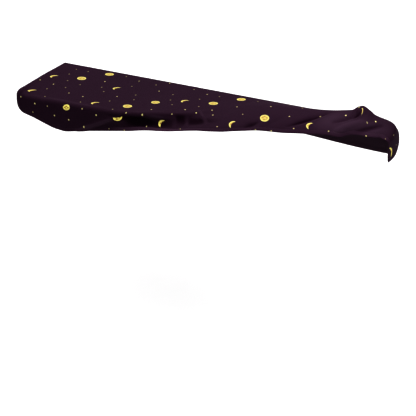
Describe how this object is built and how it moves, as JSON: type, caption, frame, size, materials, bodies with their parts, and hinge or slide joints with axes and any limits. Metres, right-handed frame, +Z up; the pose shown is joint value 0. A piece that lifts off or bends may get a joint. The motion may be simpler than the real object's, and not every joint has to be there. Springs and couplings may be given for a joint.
{
  "type": "piano keyboard cover",
  "caption": "Fitted stretch-cloth cover with a level top and hemmed skirts, drawn tight at the left and pushed back off the front at the right.",
  "frame": {"origin": "middle of the underside of the taut top, where the cover rests on what it is drawn over", "axes": "+X along the length towards the pushed-back right end, +Y from the front to the back, +Z up"},
  "size_m": [1.3471, 0.3121, 0.1797],
  "materials": {
    "printed_cloth": "soft dark stretch knit with a printed night-sky repeat"
  },
  "bodies": {
    "root": {"cover": "printed_cloth"}
  },
  "joints": []
}
